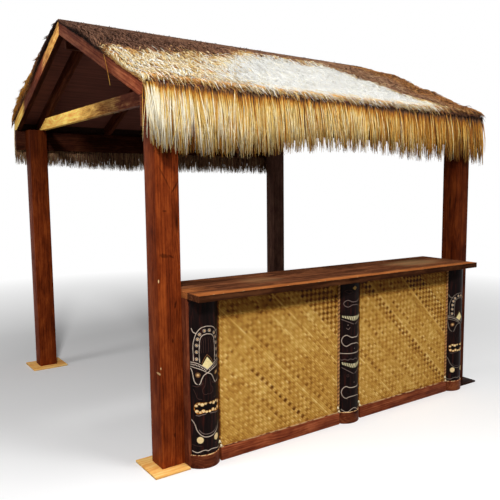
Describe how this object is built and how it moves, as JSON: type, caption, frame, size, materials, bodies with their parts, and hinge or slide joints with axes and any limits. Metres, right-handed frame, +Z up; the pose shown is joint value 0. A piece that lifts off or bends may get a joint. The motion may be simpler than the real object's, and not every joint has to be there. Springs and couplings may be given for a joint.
{
  "type": "tiki bar hut",
  "caption": "Free-standing gabled bar hut: posts carry a straw-thatched roof with hanging fringes over a panelled wooden counter with carved half-round columns.",
  "frame": {"origin": "middle of the hut's outline on the floor, under the roof", "axes": "+Z up; the counter and its customers are towards -Y; +X to the right seen from the customers' side"},
  "size_m": [2.813, 2.9634, 2.7465],
  "materials": {
    "post_wood": "red-brown stained softwood with grain and knots",
    "frame_wood": "dark red-brown stained boards",
    "plate_wood": "natural golden plywood",
    "counter_wood": "satin brown planks with an orange front edge",
    "skirt_wood": "satin red-brown stain",
    "carved_wood": "near-black carved wood with cream lines",
    "woven_mat": "golden woven leaf mat",
    "thatch": "pale dry straw"
  },
  "bodies": {
    "root": {"post_front_left": "post_wood", "post_front_right": "post_wood", "post_rear_left": "post_wood", "post_rear_right": "post_wood", "base_plate_front_left": "plate_wood", "base_plate_front_right": "plate_wood", "base_plate_rear_left": "plate_wood", "base_plate_rear_right": "plate_wood", "tie_beam_left": "frame_wood", "tie_beam_right": "frame_wood", "ridge_beam": "frame_wood", "eave_beam_front": "frame_wood", "eave_beam_rear": "frame_wood", "rafter_front_1": "frame_wood", "rafter_front_2": "frame_wood", "rafter_front_3": "frame_wood", "rafter_front_4": "frame_wood", "rafter_front_5": "frame_wood", "rafter_rear_1": "frame_wood", "rafter_rear_2": "frame_wood", "rafter_rear_3": "frame_wood", "rafter_rear_4": "frame_wood", "rafter_rear_5": "frame_wood", "barge_board_front_left": "frame_wood", "barge_board_front_right": "frame_wood", "barge_board_rear_left": "frame_wood", "barge_board_rear_right": "frame_wood", "roof_deck_front": "frame_wood", "roof_deck_rear": "frame_wood", "thatch_front_course_1": "thatch", "thatch_front_course_2": "thatch", "thatch_front_course_3": "thatch", "thatch_rear_course_1": "thatch", "thatch_rear_course_2": "thatch", "thatch_rear_course_3": "thatch", "thatch_ridge_cap": "thatch", "thatch_fringe_front": "thatch", "thatch_fringe_rear": "thatch", "counter_plank_1": "counter_wood", "counter_plank_2": "counter_wood", "counter_plank_3": "counter_wood", "counter_plank_4": "counter_wood", "counter_end_board_left": "frame_wood", "counter_end_board_right": "frame_wood", "counter_rail_front_top": "frame_wood", "counter_rail_rear_top": "frame_wood", "counter_rail_front_bottom": "frame_wood", "counter_stud_middle": "frame_wood", "counter_back_panel": "frame_wood", "tiki_column_left": "carved_wood", "tiki_column_middle": "carved_wood", "tiki_column_right": "carved_wood", "tiki_plinth_left": "skirt_wood", "tiki_plinth_middle": "skirt_wood", "tiki_plinth_right": "skirt_wood", "skirt_board_left": "skirt_wood", "skirt_board_right": "skirt_wood", "woven_mat_left": "woven_mat", "woven_mat_right": "woven_mat"}
  },
  "joints": []
}
